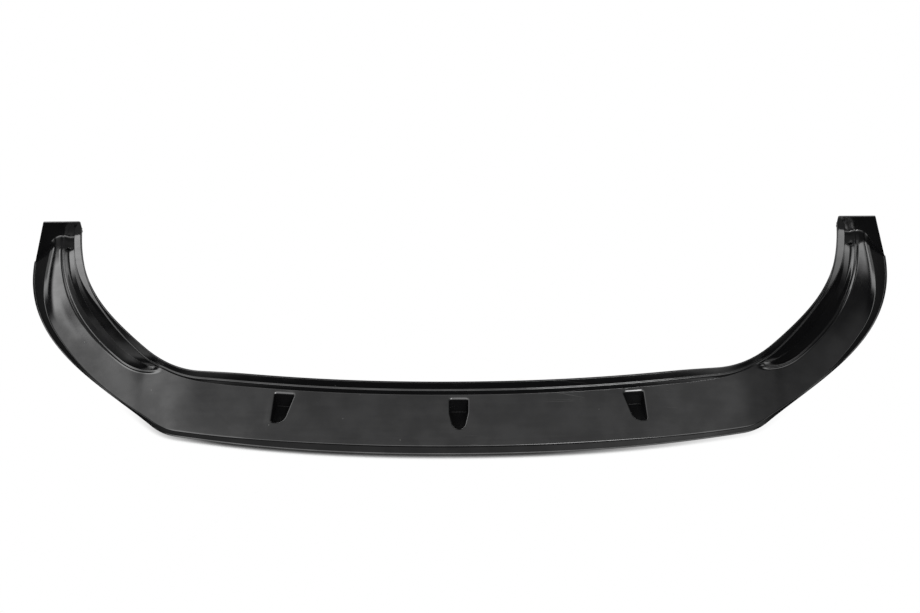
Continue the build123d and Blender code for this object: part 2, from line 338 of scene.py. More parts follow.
def under_profile(top):
    """The upper face's corners moved in by the wall, with the bottom rim kept on the ground."""
    normals = []
    for a, b in zip(top, top[1:]):
        length = dist(a, b)
        normals.append(((b[1] - a[1]) / length, (a[0] - b[0]) / length))
    first, last = normals[0], normals[-1]
    under = [(top[0][0] + WALL / first[0], 0)]
    for corner, before, after in zip(top[1:], normals, normals[1:]):
        share = WALL / (1 + before[0] * after[0] + before[1] * after[1])
        inward_d, inward_z = before[0] + after[0], before[1] + after[1]
        under.append((corner[0] + share * inward_d, corner[1] + share * inward_z))
    under.append((top[-1][0] + WALL * last[0], top[-1][1] + WALL * last[1]))
    return under


def floor_crease(station):
    """How far the recess floor's middle lies below a straight line across it."""
    return FLOOR_CREASE * ease(*CREASE_START, abs(station))


def section_corners(station):
    """Corners of the closed section with their roundings: up the outer face, back along the underside."""
    station = abs(station)
    top = top_profile(station)
    under = under_profile(top)
    sole, edge, step, floor, foot, ledge, inner, rim = top
    stepped = ease(*STEP_START, station)
    creased = ease(*CREASE_START, station)
    foot_round = mix(FOOT_ROUND_FRONT, FOOT_ROUND_ARM, ease(*WALL_RETURN, station))
    ledge_round = mix(LEDGE_ROUND_FRONT, LEDGE_ROUND_ARM, ease(*WALL_RETURN, station))
    bead_top = mix_points(sole, edge, BEAD_HIGH / edge[1])
    run, rise = step[0] - edge[0], step[1] - edge[1]
    bulge = CROWN * ease(*CROWN_START, station)
    crown = ((edge[0] + step[0]) / 2 - rise * bulge, (edge[1] + step[1]) / 2 + run * bulge)
    shelf = (floor[0] + SHELF_WIDTH, floor[1] + SHELF_WIDTH * rise / run)
    blade = [mix_points(floor, foot, share) for share in BLADE_SHARES]
    blade[0] = mix_points(blade[0], shelf, stepped)
    crease = floor_crease(station)
    blade[1] = (blade[1][0], blade[1][1] - crease)
    blade[2] = (blade[2][0], blade[2][1] - crease / 2)
    under_front, under_rear = under[:4], under[4:]
    under_blade = [mix_points(under_rear[0], under_front[-1], share) for share in BLADE_SHARES]
    return [
        (sole, SOLE_ROUND),
        ((sole[0] - BEAD_OUT, BEAD_LOW), BEAD_ROUND),
        (bead_top, BEAD_ROUND),
        (edge, EDGE_ROUND),
        (crown, run),
        (step, STEP_ROUND),
        (floor, SHELF_ROUND),
        (blade[0], SHELF_ROUND * stepped),
        (blade[1], CREASE_ROUND * creased),
        (blade[2], 0.0),
        (foot, foot_round),
        (ledge, ledge_round),
        (inner, LEDGE_ROUND_ARM),
        (rim, RIM_ROUND),
        *((corner, UNDER_ROUND) for corner in reversed(under_rear)),
        *((corner, 0.0) for corner in under_blade),
        *((corner, UNDER_ROUND) for corner in reversed(under_front)),
    ]


# Numbers of the corners that bound the blade above and below, and of the shelf beside the step
BLADE_FRONT, SHELF, BLADE_REAR, UNDER_REAR, UNDER_FRONT = 6, 7, 10, 17, 21

# Numbers of the first and the last corner that rise in the hollow before a flange
FIRST_LIFTED, LAST_LIFTED = 3, 10


# Geometry Nodes: the shell is a grid through the section's corner lines, rounded at each corner


def place(tree, kind, feeds, **options):
    """Add a node, set its options and feed its inputs with sockets or plain values."""
    made = tree.nodes.new(kind)
    for name, value in options.items():
        setattr(made, name, value)
    for key, value in feeds.items():
        if isinstance(value, bpy.types.NodeSocket):
            tree.links.new(value, made.inputs[key])
        else:
            made.inputs[key].default_value = value
    return made


def whole(tree, operation, first, second):
    return place(tree, "FunctionNodeIntegerMath", {0: first, 1: second}, operation=operation).outputs[0]


def number(tree, operation, first, second=0.0, clamp=False):
    feeds = {0: first, 1: second}
    return place(tree, "ShaderNodeMath", feeds, operation=operation, use_clamp=clamp).outputs[0]


def between(tree, start, end, share):
    return place(tree, "ShaderNodeMix", {0: share, 4: start, 5: end}, data_type="VECTOR").outputs[1]


def smooth_range(tree, value, ends, low=0.0, high=1.0):
    """Smooth change from low at the first end to high at the second."""
    feeds = {0: value, 1: ends[0], 2: ends[1], 3: low, 4: high}
    return place(tree, "ShaderNodeMapRange", feeds, interpolation_type="SMOOTHSTEP").outputs[0]


def product(tree, *factors):
    result = factors[0]
    for factor in factors[1:]:
        result = number(tree, "MULTIPLY", result, factor)
    return result


def loft_tree(material):
    """Rails in, shell out: each section is drawn through its corners with a rounding at each."""
    tree = bpy.data.node_groups.new("lip_section_loft", "GeometryNodeTree")
    for name, kind in (
        ("Rails", "NodeSocketGeometry"),
        ("Stations", "NodeSocketInt"),
        ("Corners", "NodeSocketInt"),
        ("Steps per corner", "NodeSocketInt"),
        ("Support", "NodeSocketFloat"),
    ):
        tree.interface.new_socket(name, in_out="INPUT", socket_type=kind)
    tree.interface.new_socket("Shell", in_out="OUTPUT", socket_type="NodeSocketGeometry")
    given = tree.nodes.new("NodeGroupInput").outputs
    stations, corners, steps = given["Stations"], given["Corners"], given["Steps per corner"]

    columns = whole(tree, "ADD", whole(tree, "MULTIPLY", corners, steps), 1)
    grid = place(tree, "GeometryNodeMeshGrid", {"Vertices X": stations, "Vertices Y": columns})
    index = tree.nodes.new("GeometryNodeInputIndex").outputs[0]
    row = whole(tree, "DIVIDE_FLOOR", index, columns)
    column = whole(tree, "MODULO", index, columns)
    corner = whole(tree, "MODULO", whole(tree, "DIVIDE_FLOOR", column, steps), corners)
    step = whole(tree, "MODULO", column, steps)

    position = tree.nodes.new("GeometryNodeInputPosition").outputs[0]
    named = {"Name": "rounding"}
    rounding = place(tree, "GeometryNodeInputNamedAttribute", named, data_type="FLOAT").outputs[0]

    def rail_value(value, kind, shift):
        """Value on the rail that is shift corners further on, at this station."""
        further = whole(tree, "ADD", whole(tree, "ADD", corner, shift), corners)
        rail = whole(tree, "MODULO", further, corners)
        at = whole(tree, "ADD", whole(tree, "MULTIPLY", rail, stations), row)
        feeds = {"Geometry": given["Rails"], "Value": value, "Index": at}
        return place(tree, "GeometryNodeSampleIndex", feeds, data_type=kind, domain="POINT").outputs[0]

    here = rail_value(position, "FLOAT_VECTOR", 0)
    before = rail_value(position, "FLOAT_VECTOR", -1)
    after = rail_value(position, "FLOAT_VECTOR", 1)
    radius = rail_value(rounding, "FLOAT", 0)

    last_step = number(tree, "SUBTRACT", steps, 1.0)
    middle_step = number(tree, "MULTIPLY", last_step, 0.5)
    from_middle = number(tree, "ABSOLUTE", number(tree, "SUBTRACT", step, middle_step))
    outermost = number(tree, "GREATER_THAN", from_middle, number(tree, "SUBTRACT", middle_step, 0.5))
    supported = number(tree, "MULTIPLY", outermost, number(tree, "GREATER_THAN", radius, 0.0))
    reach = number(tree, "ADD", radius, number(tree, "MULTIPLY", supported, given["Support"]))
    limit = number(tree, "ADD", ROUND_SHARE, number(tree, "MULTIPLY", supported, SUPPORT_SHARE))
    arc_step = number(tree, "SUBTRACT", step, 1.0)
    turn = number(tree, "DIVIDE", arc_step, number(tree, "SUBTRACT", last_step, 2.0), clamp=True)

    def reach_toward(neighbour):
        gap = place(tree, "ShaderNodeVectorMath", {0: here, 1: neighbour}, operation="DISTANCE")
        share = number(tree, "DIVIDE", reach, gap.outputs["Value"])
        return between(tree, here, neighbour, number(tree, "MINIMUM", limit, share))

    start, end = reach_toward(before), reach_toward(after)
    rounded = between(tree, between(tree, start, here, turn), between(tree, here, end, turn), turn)

    feeds = {"Geometry": grid.outputs[0], "Position": rounded}
    shell = place(tree, "GeometryNodeSetPosition", feeds).outputs[0]
    for name, value in (("station", row), ("column", column)):
        feeds = {"Geometry": shell, "Name": name, "Value": value}
        stored = place(tree, "GeometryNodeStoreNamedAttribute", feeds, data_type="INT", domain="POINT")
        shell = stored.outputs[0]
    shell = place(tree, "GeometryNodeRealizeInstances", {"Geometry": shell}).outputs[0]
    shell = place(tree, "GeometryNodeSetMaterial", {"Geometry": shell, "Material": material}).outputs[0]
    place(tree, "NodeGroupOutput", {0: shell})
    return tree


def all_stations():
    """Even steps along the lip, with finer ones before each flange."""
    even = [mix(-ARM_END, ARM_END, number_along / (STATIONS - 1)) for number_along in range(STATIONS)]
    count = round((ARM_END - HOLLOW_START) / HOLLOW_STEP)
    fine = [mix(HOLLOW_START, ARM_END, step / count) for step in range(count)]
    middle = [station for station in even if abs(station) < HOLLOW_START - HOLLOW_STEP]
    return [-ARM_END] + [-station for station in reversed(fine)] + middle + fine + [ARM_END]


ALL_STATIONS = all_stations()


def nearest_row(station):
    return min(range(len(ALL_STATIONS)), key=lambda row: abs(ALL_STATIONS[row] - station))


def hollow_lift(point):
    """How far the upper face rises in the hollow rounding before a flange."""
    gap = DEPTH / 2 - WALL + HOLLOW_SINK - point.y
    short = FLANGE_HOLLOW - min(FLANGE_HOLLOW, max(0.0, gap))
    return FLANGE_HOLLOW - (FLANGE_HOLLOW**2 - short**2) ** 0.5


def shell_mesh(material):
    """The rails through the loft, as a plain mesh."""
    sections = []
    for station in ALL_STATIONS:
        foot, run = section_frame(station)
        section = [(foot + run * d + Vector((0, 0, z)), r) for (d, z), r in section_corners(station)]
        for point, _ in section[FIRST_LIFTED : LAST_LIFTED + 1]:
            point.z += hollow_lift(point)
        sections.append(section)
    corner_count = len(sections[0])
    points, roundings = [], []
    for corner in range(corner_count):
        for section in sections:
            point, rounding = section[corner]
            points.append(point * MM)
            roundings.append(rounding * MM)
    rails = bpy.data.meshes.new("lip_rails")
    rails.from_pydata(points, [], [])
    rails.attributes.new("rounding", "FLOAT", "POINT").data.foreach_set("value", roundings)
    holder = bpy.data.objects.new("lip_rails", rails)
    bpy.context.scene.collection.objects.link(holder)

    tree = loft_tree(material)
    loft = holder.modifiers.new("loft", "NODES")
    loft.node_group = tree
    values = {
        "Stations": len(ALL_STATIONS),
        "Corners": corner_count,
        "Steps per corner": CORNER_STEPS,
        "Support": SUPPORT * MM,
    }
    for item in tree.interface.items_tree:
        if item.in_out == "INPUT" and item.name in values:
            loft[item.identifier] = values[item.name]
    shaped = holder.evaluated_get(bpy.context.evaluated_depsgraph_get())
    mesh = bpy.data.meshes.new_from_object(shaped)
    bpy.data.objects.remove(holder)
    return mesh


# Outlines and rings for scoops, holes and flanges


def rounded_outline(corners):
    """Points round a polygon, anticlockwise; each corner comes with its radius."""
    points = []
    for i, (corner, radius) in enumerate(corners):
        here = Vector(corner)
        back = (Vector(corners[i - 1][0]) - here).normalized()
        ahead = (Vector(corners[(i + 1) % len(corners)][0]) - here).normalized()
        half = back.angle(ahead) / 2
        reach = radius / tan(half)
        centre = here + (back + ahead).normalized() * (radius / sin(half))
        start, end = here + back * reach - centre, here + ahead * reach - centre
        opening = start.angle_signed(end)
        for step in range(OUTLINE_STEPS + 1):
            turned = Matrix.Rotation(-opening * step / OUTLINE_STEPS, 2) @ start
            points.append(centre + turned)
    return anticlockwise(points)


def outward(points):
    """Mitred outward directions of a closed outline that runs anticlockwise."""
    ways = []
    for i, point in enumerate(points):
        before = (point - points[i - 1]).normalized()
        after = (points[(i + 1) % len(points)] - point).normalized()
        normal = (Vector((before.y, -before.x)) + Vector((after.y, -after.x))).normalized()
        ways.append(normal / max(MITRE_LIMIT, normal.dot(Vector((before.y, -before.x)))))
    return ways


def anticlockwise(points):
    area = sum(a.x * b.y - b.x * a.y for a, b in zip(points, points[1:] + points[:1]))
    return points if area > 0 else points[::-1]


def open_edges(mesh):
    return [edge for edge in mesh.edges if len(edge.link_faces) == 1]


def ring_edges(mesh, ring):
    """Edges round a ring, made where they are missing."""
    edges = []
    for a, b in zip(ring, ring[1:] + ring[:1]):
        edges.append(mesh.edges.get((a, b)) or mesh.edges.new((a, b)))
    return edges


def stitch(mesh, rings):
    """Quads between neighbouring rings."""
    for upper, lower in zip(rings, rings[1:]):
        for i in range(len(upper)):
            following = (i + 1) % len(upper)
            mesh.faces.new((upper[i], lower[i], lower[following], upper[following]))


def columns_between(first, last):
    """The grid's columns from the end of one corner's rounding to the start of another's."""
    return first * CORNER_STEPS + CORNER_STEPS - 1, last * CORNER_STEPS


def open_window(mesh, stations, columns):
    """Take the grid's faces out of a window and return the edges round it."""
    station, column = mesh.verts.layers.int["station"], mesh.verts.layers.int["column"]

    def inside(vert):
        return stations[0] <= vert[station] <= stations[1] and columns[0] <= vert[column] <= columns[1]

    gone = [face for face in mesh.faces if all(inside(vert) for vert in face.verts)]
    bmesh.ops.delete(mesh, geom=gone, context="FACES")
    return [edge for edge in open_edges(mesh) if all(inside(vert) for vert in edge.verts)]


def fill_round(mesh, window, ring, normal):
    """Close the surface between a window's edge and a ring in it."""
    bmesh.ops.triangle_fill(mesh, use_beauty=True, edges=window + ring_edges(mesh, ring), normal=normal)


def quarter(steps=ARC_STEPS):
    """Angles of a quarter turn."""
    return [pi / 2 * step / steps for step in range(steps + 1)]


# Scoops


def scoop_outline(side):
    """Outline of a scoop, as distances across the lip and toward the wall."""
    if side:
        front = SCOOP_REAR - SIDE_SCOOP_LENGTH
        outer, inner = side * SIDE_SCOOP_WIDTH / 2, -side * SIDE_SCOOP_WIDTH / 2
        corners = [
            ((inner, SCOOP_REAR), SCOOP_REAR_CORNER),
            ((outer, SCOOP_REAR), SCOOP_REAR_CORNER),
            ((outer, front), SIDE_OUTER_ROUND),
            ((inner + side * SIDE_SCOOP_SLANT, front), SIDE_INNER_ROUND),
        ]
    else:
        front = SCOOP_REAR - MIDDLE_SCOOP_LENGTH
        shoulder = front + MIDDLE_NOSE_LENGTH
        half, nose = MIDDLE_SCOOP_WIDTH / 2, MIDDLE_NOSE_WIDTH / 2
        corners = [
            ((-half, SCOOP_REAR), SCOOP_REAR_CORNER),
            ((half, SCOOP_REAR), SCOOP_REAR_CORNER),
            ((half, shoulder), MIDDLE_SHOULDER_ROUND),
            ((nose, front), MIDDLE_NOSE_ROUND),
            ((-nose, front), MIDDLE_NOSE_ROUND),
            ((-half, shoulder), MIDDLE_SHOULDER_ROUND),
        ]
    return rounded_outline(corners)


def sink_scoop(mesh, side):
    """A blind pocket in the blade: its rim, walls and floor above, its outer walls and sole below."""
    station = side * SIDE_SCOOP_STATION
    foot, run = section_frame(station)
    across = Vector((run.y, -run.x, 0))
    _, edge, _, _, wall_foot, *_ = top_profile(station)
    slope = (wall_foot[1] - edge[1]) / (wall_foot[0] - edge[0])
    normal = (Vector((0, 0, 1)) - run * slope).normalized()
    outline = scoop_outline(side)
    ways = outward(outline)
    middle = nearest_row(station)
    stations = (middle - SCOOP_WINDOW, middle + SCOOP_WINDOW)

    rims = []
    for point in outline:
        at_rear = ease(SCOOP_REAR - SCOOP_REAR_RIM_RUN, SCOOP_REAR, point.y)
        rims.append(mix(SCOOP_RIM_ROUND, SCOOP_REAR_RIM, at_rear))

    def blade_height(point):
        return edge[1] + slope * (point.y - edge[0])

    def inset(height):
        return -tan(radians(SCOOP_DRAFT)) * (SCOOP_TOP - height)

    def ring(grow_of, height_of):
        """A ring by two rules: how far it lies outside the outline, and its height."""
        verts = []
        for point, way, rim in zip(outline, ways, rims):
            grow = grow_of(rim) + SCOOP_RIM_ROUND - rim
            height = height_of(point + way * (grow + inset(blade_height(point))), rim)
            spread = point + way * (grow + inset(height))
            spot = foot + across * spread.x + run * spread.y + Vector((0, 0, height))
            verts.append(mesh.verts.new(spot * MM))
        return verts

    # Upper side: the rim's rounding, the wall and the floor's rounding
    window = open_window(mesh, stations, columns_between(BLADE_FRONT, BLADE_REAR))
    rings = [ring(lambda rim: rim + SUPPORT_RING, lambda point, rim: blade_height(point))]
    for angle in quarter(SCOOP_RIM_STEPS):
        spread, drop = 1 - sin(angle), 1 - cos(angle)
        rings.append(ring(lambda rim: rim * spread, lambda point, rim: blade_height(point) - rim * drop))
    walls = [rings[-1]]
    for angle in quarter():
        lift = SCOOP_FLOOR_ROUND * (1 - sin(angle))
        shrink = SCOOP_FLOOR_ROUND * (1 - cos(angle))
        walls.append(ring(lambda rim: -shrink, lambda point, rim: SCOOP_FLOOR + lift))
    # Mark the scoop's walls and floor: rougher there, and darkened with painted shade in the material
    rough_and_shaded = mesh.verts.layers.float["scoop_wall"]
    for wall_ring in walls:
        for vert in wall_ring:
            vert[rough_and_shaded] = 1.0
    rings += walls[1:]
    stitch(mesh, rings)
    mesh.faces.new(rings[-1])
    fill_round(mesh, window, rings[0], normal)

    # Underside: the pocket's outer walls and its sole
    window = open_window(mesh, stations, columns_between(UNDER_REAR, UNDER_FRONT))
    below = WALL * (1 + slope**2) ** 0.5

    def under_height(point):
        return blade_height(point) - below

    def under_ring(spread, height_of):
        """A ring under the blade: how far it lies outside the pocket's inner wall, and its height."""
        return ring(lambda rim: spread + rim - SCOOP_RIM_ROUND, lambda point, rim: height_of(point))

    rings = [under_ring(WALL + UNDER_ROUND + SUPPORT_RING, under_height)]
    for angle in quarter():
        drop = UNDER_ROUND * (1 - cos(angle))
        spread = WALL + UNDER_ROUND * (1 - sin(angle))
        rings.append(under_ring(spread, lambda point: under_height(point) - drop))
    for angle in quarter():
        lift = UNDER_ROUND * (1 - sin(angle))
        spread = WALL - UNDER_ROUND * (1 - cos(angle))
        rings.append(under_ring(spread, lambda point: SCOOP_FLOOR - WALL + lift))
    stitch(mesh, rings)
    mesh.faces.new(rings[-1])
    fill_round(mesh, window, rings[0], -normal)


# Screw holes


def drill_hole(mesh, side):
    """A screw hole through the recess floor, with a short collar under it."""
    station = side * HOLE_STATION
    foot, run = section_frame(station)
    along_arm = Vector((run.y, -run.x, 0))
    _, _, _, floor, wall_foot, *_ = top_profile(station)
    corners = section_corners(station)
    near, far = (Vector((corners[i][0][0], 0, corners[i][0][1])) for i in (SHELF, BLADE_REAR))
    rise = (far - near).normalized()
    across = run * rise.x + Vector((0, 0, rise.z))
    normal = along_arm.cross(across).normalized()
    if normal.z < 0:
        normal = -normal
    middle_d = (floor[0] + wall_foot[0]) / 2
    centre_flat = near + rise * ((middle_d - near.x) / rise.x)
    centre = foot + run * centre_flat.x + Vector((0, 0, centre_flat.z - floor_crease(station)))
    middle = nearest_row(station)
    stations = (middle - HOLE_WINDOW, middle + HOLE_WINDOW)

    def ring(radius, depth):
        verts = []
        for step in range(HOLE_STEPS):
            angle = 2 * pi * step / HOLE_STEPS
            spot = centre + (along_arm * cos(angle) + across * sin(angle)) * radius - normal * depth
            verts.append(mesh.verts.new(spot * MM))
        return verts

    rings = [ring(HOLE_RADIUS + HOLE_RIM_ROUND + HOLE_SUPPORT, 0)]
    for angle in quarter(HOLE_RIM_STEPS):
        spread = HOLE_RIM_ROUND * (1 - sin(angle))
        rings.append(ring(HOLE_RADIUS + spread, HOLE_RIM_ROUND * (1 - cos(angle))))
    rings.append(ring(HOLE_RADIUS, COLLAR_DEPTH))
    rings.append(ring(HOLE_RADIUS + COLLAR_WALL, COLLAR_DEPTH))
    rings.append(ring(HOLE_RADIUS + COLLAR_WALL, WALL))
    upper = open_window(mesh, stations, columns_between(SHELF, BLADE_REAR))
    lower = open_window(mesh, stations, columns_between(UNDER_REAR, UNDER_FRONT))
    stitch(mesh, rings)
    fill_round(mesh, upper, rings[0], normal)
    fill_round(mesh, lower, rings[-1], -normal)


# End flanges


def flange_mesh(side):
    """Upright plate across an arm's end, with rounded edges."""
    mesh = bmesh.new()
    foot, run = section_frame(side * ARM_END)
    corners = [
        ((0, 0), FLANGE_TIP_ROUND),
        ((FLANGE_TOP_IN, END_HEIGHT), FLANGE_CORNER),
        ((FLANGE_REACH, END_HEIGHT), FLANGE_CORNER),
        ((FLANGE_REACH, FLANGE_FOOT), FLANGE_TIP_ROUND),
    ]
    outline = rounded_outline(corners)
    ways = outward(outline)

    def ring(grow, depth):
        verts = []
        for point, way in zip(outline, ways):
            spread = point + way * grow
            verts.append(mesh.verts.new((foot + run * spread.x + Vector((0, -depth, spread.y))) * MM))
        return verts

    edge = FLANGE_EDGE_ROUND
    rings = [ring(-edge - SUPPORT_RING, 0)]
    for angle in quarter(FLANGE_EDGE_STEPS):
        rings.append(ring(-edge * (1 - sin(angle)), edge * (1 - cos(angle))))
    for angle in reversed(quarter(FLANGE_EDGE_STEPS)):
        rings.append(ring(-edge * (1 - sin(angle)), WALL - edge * (1 - cos(angle))))
    rings.append(ring(-edge - SUPPORT_RING, WALL))
    stitch(mesh, rings)
    mesh.faces.new(rings[0][::-1])
    mesh.faces.new(rings[-1])
    bmesh.ops.recalc_face_normals(mesh, faces=mesh.faces)
    made = bpy.data.meshes.new("flange")
    mesh.to_mesh(made)
    mesh.free()
    return made


# Black plastic: its colour and index, and the band that most of a noise lies in
BLACK = (0.0028, 0.0028, 0.003, 1)
PLASTIC_IOR = 1.5
NOISE_RANGE = (0.35, 0.65)

# Its sheen, in broad clouds with finer streaks along the lip, and its roughness, higher inside the scoops,
# where painted shade also cuts the sheen
SHEEN_RANGE = (0.43, 0.57)
CLOUD_SCALE = 22.0
CLOUD_DETAIL = 5.0
CLOUD_SHARE = 0.8
STREAK_SCALE = (9.0, 120.0, 120.0)
STREAK_DETAIL = 4.0
ROUGHNESS_RANGE = (0.1, 0.15)
ROUGHNESS_SCALE = 45.0
SCOOP_WALL_DULL = 0.15
# Painted shade in the scoops: the share of sheen taken from their walls and floor
SCOOP_PAINTED_SHADE = 0.75

# Its relief: fine grain on the clouds' shallow waves, with the depth in metres
GRAIN_SCALE = 260.0
GRAIN_HEIGHT = 0.5
CLOUD_HEIGHT = 2.5
RELIEF_DEPTH = 0.00004

# Its dust and scratches: specks in the few cells that are not clean, and patches of long thin cells
DUST = (0.09, 0.088, 0.085, 1)
DUST_SCALE = 70.0
DUST_SIZE = 0.07
DUST_CORE = 0.4
CLEAN_SHARE = 0.93
SCRATCH_CELLS = (3.0, 34.0, 34.0)
SCRATCH_WIDTH = 0.004
SCRATCH_PATCH_SCALE = 7.0
SCRATCH_PATCH_RANGE = (0.6, 0.68)
SCRATCH_STRENGTH = 0.6
MARK_DULL = 0.3


def noise(tree, where, scale, detail=3.0):
    feeds = {"Vector": where, "Scale": scale, "Detail": detail}
    return place(tree, "ShaderNodeTexNoise", feeds).outputs[0]


def stretched(tree, where, scale):
    return place(tree, "ShaderNodeMapping", {"Vector": where, "Scale": scale}).outputs[0]


def dust_specks(tree, where):
    cells = place(tree, "ShaderNodeTexVoronoi", {"Vector": where, "Scale": DUST_SCALE}).outputs
    lot = place(tree, "ShaderNodeSeparateColor", {0: cells["Color"]}).outputs[0]
    chosen = number(tree, "GREATER_THAN", lot, CLEAN_SHARE)
    speck = smooth_range(tree, cells["Distance"], (DUST_SIZE, DUST_SIZE * DUST_CORE))
    return product(tree, speck, chosen)


def fine_scratches(tree, where):
    feeds = {"Vector": stretched(tree, where, SCRATCH_CELLS), "Scale": 1.0}
    edges = place(tree, "ShaderNodeTexVoronoi", feeds, feature="DISTANCE_TO_EDGE").outputs[0]
    patches = smooth_range(tree, noise(tree, where, SCRATCH_PATCH_SCALE), SCRATCH_PATCH_RANGE)
    return product(tree, smooth_range(tree, edges, (SCRATCH_WIDTH, 0.0)), patches)


def black_plastic():
    """Semi-gloss black moulding: cloudy sheen, fine grain, scratches and dust; inside the scoops rougher,
    with painted shade that cuts the sheen.
    """
    material = bpy.data.materials.new("black_plastic")
    material.use_nodes = True
    tree = material.node_tree
    shader = tree.nodes["Principled BSDF"]
    where = tree.nodes.new("ShaderNodeTexCoord").outputs["Object"]

    clouds = noise(tree, where, CLOUD_SCALE, CLOUD_DETAIL)
    streaks = noise(tree, stretched(tree, where, STREAK_SCALE), 1.0, STREAK_DETAIL)
    streaky = product(tree, streaks, 1 - CLOUD_SHARE)
    cloudy = number(tree, "ADD", product(tree, clouds, CLOUD_SHARE), streaky)
    scratch = product(tree, fine_scratches(tree, where), SCRATCH_STRENGTH)
    marks = number(tree, "MAXIMUM", dust_specks(tree, where), scratch)
    inside = place(tree, "ShaderNodeAttribute", {}, attribute_name="scoop_wall").outputs["Fac"]

    colour = place(tree, "ShaderNodeMix", {0: marks, 6: BLACK, 7: DUST}, data_type="RGBA").outputs[2]
    roughness = smooth_range(tree, noise(tree, where, ROUGHNESS_SCALE), NOISE_RANGE, *ROUGHNESS_RANGE)
    roughness = number(tree, "ADD", roughness, product(tree, marks, MARK_DULL))
    roughness = number(tree, "ADD", roughness, product(tree, inside, SCOOP_WALL_DULL))
    # Painted shade: the scoops' walls and floor keep only a quarter of the sheen
    unshaded_sheen_share = number(tree, "SUBTRACT", 1.0, product(tree, inside, SCOOP_PAINTED_SHADE))
    sheen = product(tree, smooth_range(tree, cloudy, NOISE_RANGE, *SHEEN_RANGE), unshaded_sheen_share)
    grain = product(tree, noise(tree, where, GRAIN_SCALE), GRAIN_HEIGHT)
    height = number(tree, "ADD", grain, product(tree, clouds, CLOUD_HEIGHT))
    feeds = {"Height": height, "Distance": RELIEF_DEPTH, "Strength": 1.0}
    relief = place(tree, "ShaderNodeBump", feeds).outputs[0]

    tree.links.new(colour, shader.inputs["Base Color"])
    tree.links.new(roughness, shader.inputs["Roughness"])
    tree.links.new(sheen, shader.inputs["Specular IOR Level"])
    tree.links.new(relief, shader.inputs["Normal"])
    shader.inputs["IOR"].default_value = PLASTIC_IOR
    return material


# The lip as one mesh: its ends stop just inside the flanges, and the weld is in metres
END_INSET = 0.2
END_TOLERANCE = 0.01
WELD = 1e-6
SHARP_ANGLE = 40.0


def close_seam(mesh):
    """Weld the two edges of the shell that meet at its sole, then collapse edges of no length."""
    end_plane = (DEPTH / 2 - END_TOLERANCE) * MM
    seam = set()
    for edge in open_edges(mesh):
        if min(vert.co.y for vert in edge.verts) < end_plane:
            seam.update(edge.verts)
    bmesh.ops.remove_doubles(mesh, verts=list(seam), dist=WELD)
    bmesh.ops.dissolve_degenerate(mesh, dist=WELD, edges=mesh.edges)


def triangulate_joints(lip_mesh):
    """Cut the many-sided faces round the flanges into well-shaped triangles."""
    mesh = bmesh.new()
    mesh.from_mesh(lip_mesh)
    bmesh.ops.dissolve_degenerate(mesh, dist=WELD, edges=mesh.edges)
    many_sided = [face for face in mesh.faces if len(face.verts) > 4]
    bmesh.ops.triangulate(mesh, faces=many_sided, ngon_method="BEAUTY")
    bmesh.ops.dissolve_degenerate(mesh, dist=WELD, edges=mesh.edges)
    mesh.to_mesh(lip_mesh)
    mesh.free()


def moulded_shell(plastic):
    """The loft with its scoops sunk, its holes drilled and its ends closed."""
    shell = shell_mesh(plastic)
    mesh = bmesh.new()
    mesh.from_mesh(shell)
    mesh.verts.layers.float.new("scoop_wall")
    close_seam(mesh)
    for side in (-1, 0, 1):
        sink_scoop(mesh, side)
    for side in (-1, 1):
        drill_hole(mesh, side)
    for vert in mesh.verts:
        vert.co.y = min(vert.co.y, (DEPTH / 2 - END_INSET) * MM)
    bmesh.ops.holes_fill(mesh, edges=open_edges(mesh), sides=0)
    bmesh.ops.recalc_face_normals(mesh, faces=mesh.faces)
    mesh.to_mesh(shell)
    mesh.free()
    shell.name = "splitter_lip_shell"
    return shell


def join_flange(lip, side):
    """Unite the shell with the flange at one arm's end."""
    flange = bpy.data.objects.new("flange", flange_mesh(side))
    bpy.context.scene.collection.objects.link(flange)
    join = lip.modifiers.new("flange", "BOOLEAN")
    join.operation = "UNION"
    join.solver = "EXACT"
    join.object = flange
    joined = lip.evaluated_get(bpy.context.evaluated_depsgraph_get())
    whole_mesh = bpy.data.meshes.new_from_object(joined)
    lip.modifiers.remove(join)
    lip.data = whole_mesh
    bpy.data.objects.remove(flange)


def build_lip():
    plastic = black_plastic()
    lip = bpy.data.objects.new("splitter_lip_shell", moulded_shell(plastic))
    bpy.context.scene.collection.objects.link(lip)
    for side in (-1, 1):
        join_flange(lip, side)
    triangulate_joints(lip.data)
    lip.data.materials.clear()
    lip.data.materials.append(plastic)
    lip.data.shade_smooth()
    lip.data.set_sharp_from_angle(angle=radians(SHARP_ANGLE))
    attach(lip, "root")
    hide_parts("splitter_lip")


# Floor, and the narrow shadow where the lip stands on it; studio sizes are in metres
FLOOR_HALF = 30.0
FLOOR_TONE = 0.015
CONTACT_REACH = 0.014
CONTACT_SAMPLES = 16
CONTACT_RANGE = (0.5, 0.94)
CONTACT_POWER = 3.5
CONTACT_DARKEST = 0.03
SHADOW_LEFT = (-0.62, -0.4)
SHADOW_RIGHT = (0.62, 0.1)

# Cards on the floor that only the plastic sees: one in front, one between the arms and behind them
CARD_START = (-0.15, -0.25)
CARD_FAR = (-0.295, -0.275)
CARD_FAR_LIGHT = 0.1
CARD_LIGHT = 0.4
CARD_RIGHT = (0.05, 0.5)
CARD_RIGHT_LIGHT = 0.6
REAR_CARD_START = (-0.16, -0.1)
REAR_CARD_SIDES = (0.74, 0.62)
REAR_CARD_BEYOND = (0.33, 0.45)
REAR_CARD_LIGHT = 0.5

